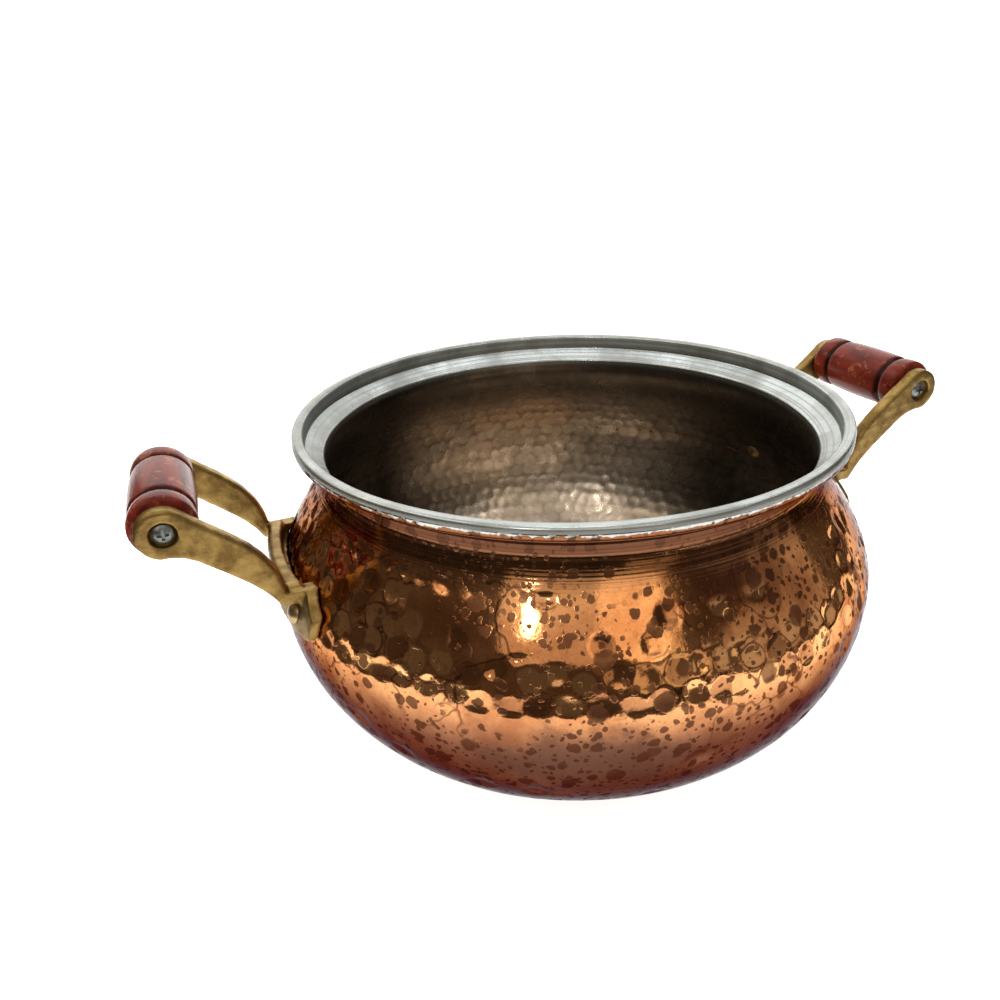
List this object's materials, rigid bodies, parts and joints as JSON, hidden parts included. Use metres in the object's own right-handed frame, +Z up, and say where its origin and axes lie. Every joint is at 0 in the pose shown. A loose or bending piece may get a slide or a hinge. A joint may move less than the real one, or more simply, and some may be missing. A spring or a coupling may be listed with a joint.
{
  "type": "stockpot",
  "caption": "Wide-mouthed copper stockpot, tinned inside, with a ledged rim for a lid, riveted brass side handles and turned wooden grips.",
  "frame": {"origin": "middle of the base's flat underside", "axes": "+Z up along the pot's axis, +X through the right-hand handle, -Y towards the front"},
  "size_m": [0.3704, 0.2692, 0.145],
  "materials": {
    "copper": "polished, hammered, with brown spots",
    "tin": "wiped tin, worn and darkened by use",
    "wire": "plain drawn wire",
    "brass": "as cast, hand polished",
    "lacquered_wood": "dark red gloss lacquer, worn",
    "zinc_screw": "zinc plated",
    "rivet": "hammered over"
  },
  "bodies": {
    "pot": {"pot_shell": "copper", "tin_lining": "tin", "rim_wire": "wire", "left_handle_bracket": "brass", "left_front_rivet": "rivet", "left_rear_rivet": "rivet", "right_handle_bracket": "brass", "right_front_rivet": "rivet", "right_rear_rivet": "rivet"},
    "left_grip_roll": {"left_grip": "lacquered_wood", "left_front_screw": "zinc_screw", "left_rear_screw": "zinc_screw"},
    "right_grip_roll": {"right_grip": "lacquered_wood", "right_front_screw": "zinc_screw", "right_rear_screw": "zinc_screw"}
  },
  "joints": [
    {"name": "left_grip_turn", "type": "hinge", "parent": "pot", "child": "left_grip_roll", "pos_m": [-0.1724, 0, 0.1322], "axis": [0, 1, 0], "continuous": true},
    {"name": "right_grip_turn", "type": "hinge", "parent": "pot", "child": "right_grip_roll", "pos_m": [0.1724, 0, 0.1322], "axis": [0, 1, 0], "continuous": true}
  ]
}
